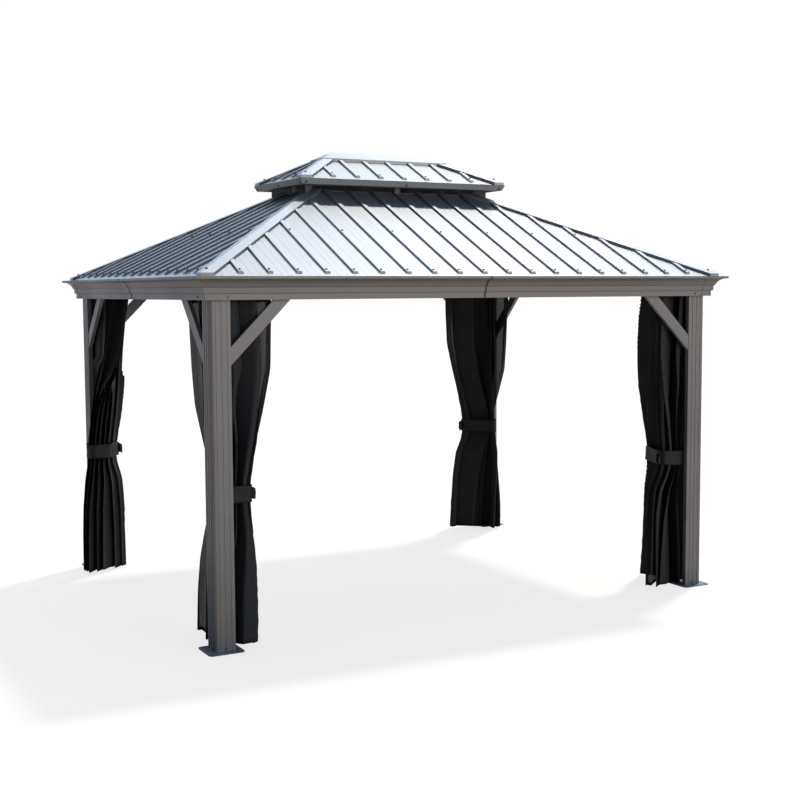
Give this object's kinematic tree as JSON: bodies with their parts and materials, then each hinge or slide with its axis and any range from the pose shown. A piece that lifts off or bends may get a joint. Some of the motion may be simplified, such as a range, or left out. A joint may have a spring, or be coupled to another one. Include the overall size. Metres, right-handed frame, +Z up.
{
  "type": "hardtop gazebo",
  "caption": "Open hardtop garden gazebo: corner posts on base plates, moulded eave beams with knee braces, vented two-tier hipped roof of ribbed sheet, netting tied at the posts",
  "frame": {"origin": "on the ground, at the middle of the gazebo's plan", "axes": "+X along the long side, to the right seen from the front; +Y to the back; +Z up"},
  "size_m": [3.66, 2.882, 2.9041],
  "materials": {
    "frame_paint": "matt powder coat",
    "base_plate_paint": "matt powder coat",
    "roof_sheet": "satin coated steel sheet",
    "roof_trim": "satin coated steel sheet",
    "netting": "fine polyester mesh",
    "netting_tie": "woven polyester band",
    "rail": "powder coated extrusion"
  },
  "bodies": {
    "root": {"base_plate_back_left": "base_plate_paint", "base_plate_back_right": "base_plate_paint", "base_plate_front_left": "base_plate_paint", "base_plate_front_right": "base_plate_paint", "braces_back_left": "frame_paint", "braces_back_right": "frame_paint", "braces_front_left": "frame_paint", "braces_front_right": "frame_paint", "common_rafters": "frame_paint", "curtain_back_left": "netting", "curtain_back_right": "netting", "curtain_front_left": "netting", "curtain_front_right": "netting", "curtain_rails": "rail", "curtain_ties": "netting_tie", "eave_beam_back": "frame_paint", "eave_beam_front": "frame_paint", "eave_beam_left": "frame_paint", "eave_beam_right": "frame_paint", "eave_corner_back_left": "frame_paint", "eave_corner_back_right": "frame_paint", "eave_corner_front_left": "frame_paint", "eave_corner_front_right": "frame_paint", "hip_rafters": "frame_paint", "post_back_left": "frame_paint", "post_back_right": "frame_paint", "post_front_left": "frame_paint", "post_front_right": "frame_paint", "ridge_bar": "frame_paint", "ridge_cap": "roof_trim", "roof_hip_caps": "roof_trim", "roof_slope_back": "roof_sheet", "roof_slope_front": "roof_sheet", "roof_slope_left": "roof_sheet", "roof_slope_right": "roof_sheet", "upper_fascia": "frame_paint", "upper_hip_caps": "roof_trim", "upper_rafters": "frame_paint", "upper_ring": "frame_paint", "upper_slope_back": "roof_sheet", "upper_slope_front": "roof_sheet", "upper_slope_left": "roof_sheet", "upper_slope_right": "roof_sheet", "vent_curb": "frame_paint", "vent_legs": "frame_paint"}
  },
  "joints": []
}
